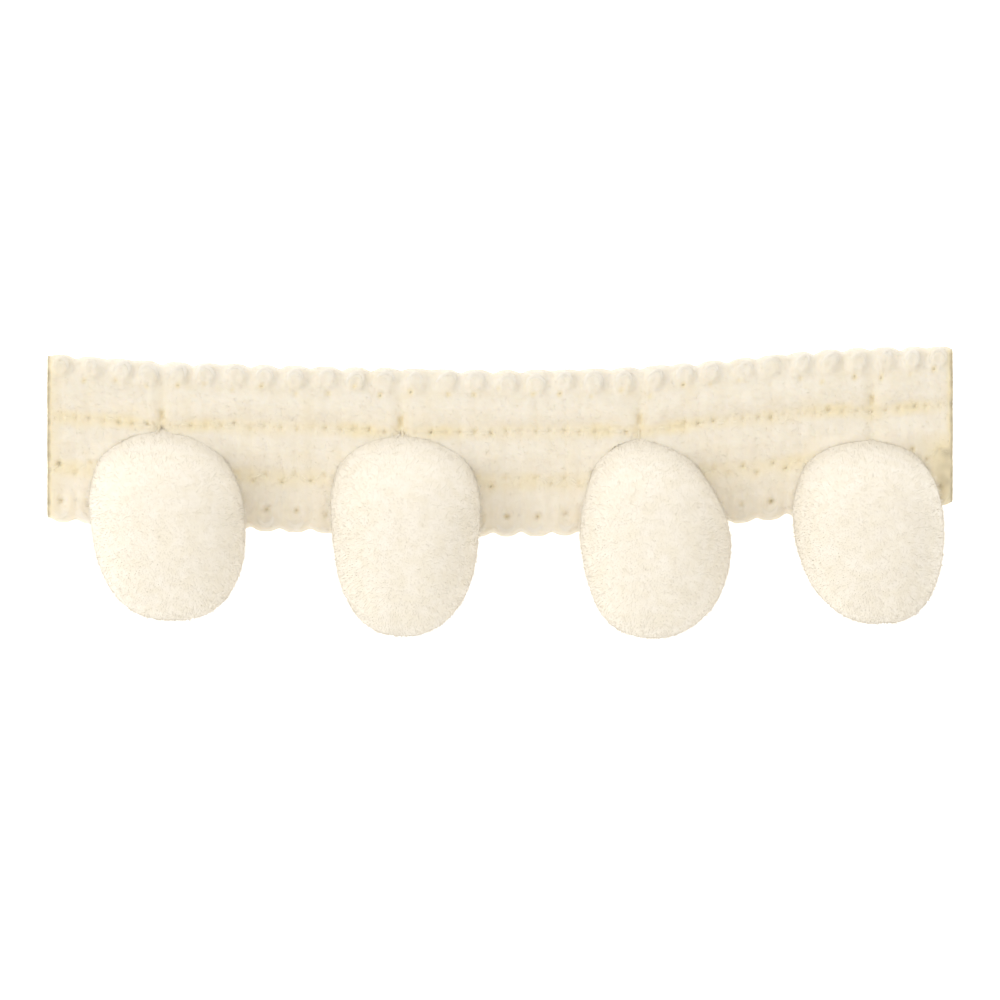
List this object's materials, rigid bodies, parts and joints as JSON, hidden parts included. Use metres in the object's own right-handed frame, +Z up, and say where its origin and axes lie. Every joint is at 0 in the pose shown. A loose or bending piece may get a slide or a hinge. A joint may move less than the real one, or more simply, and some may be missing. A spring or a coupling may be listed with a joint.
{
  "type": "pompom fringe trim",
  "caption": "Cut length of knitted trim with a picot edge and cabled rows, and barrel-shaped cut-pile pompoms tied along it.",
  "frame": {"origin": "middle of the trim's bounding box, on the surface that it lies on", "axes": "+X along the trim's length, +Y across it towards the picot edge, +Z up out of its face"},
  "size_m": [0.1088, 0.035, 0.0155],
  "materials": {
    "heading_knit": "matt ivory knitted yarn",
    "pompom_pile": "soft ivory cut pile",
    "tie_thread": "matt cream thread"
  },
  "bodies": {
    "root": {"heading": "heading_knit", "pompom_1": "pompom_pile", "pompom_2": "pompom_pile", "pompom_3": "pompom_pile", "pompom_4": "pompom_pile", "tie_1": "tie_thread", "tie_2": "tie_thread", "tie_3": "tie_thread", "tie_4": "tie_thread"}
  },
  "joints": []
}
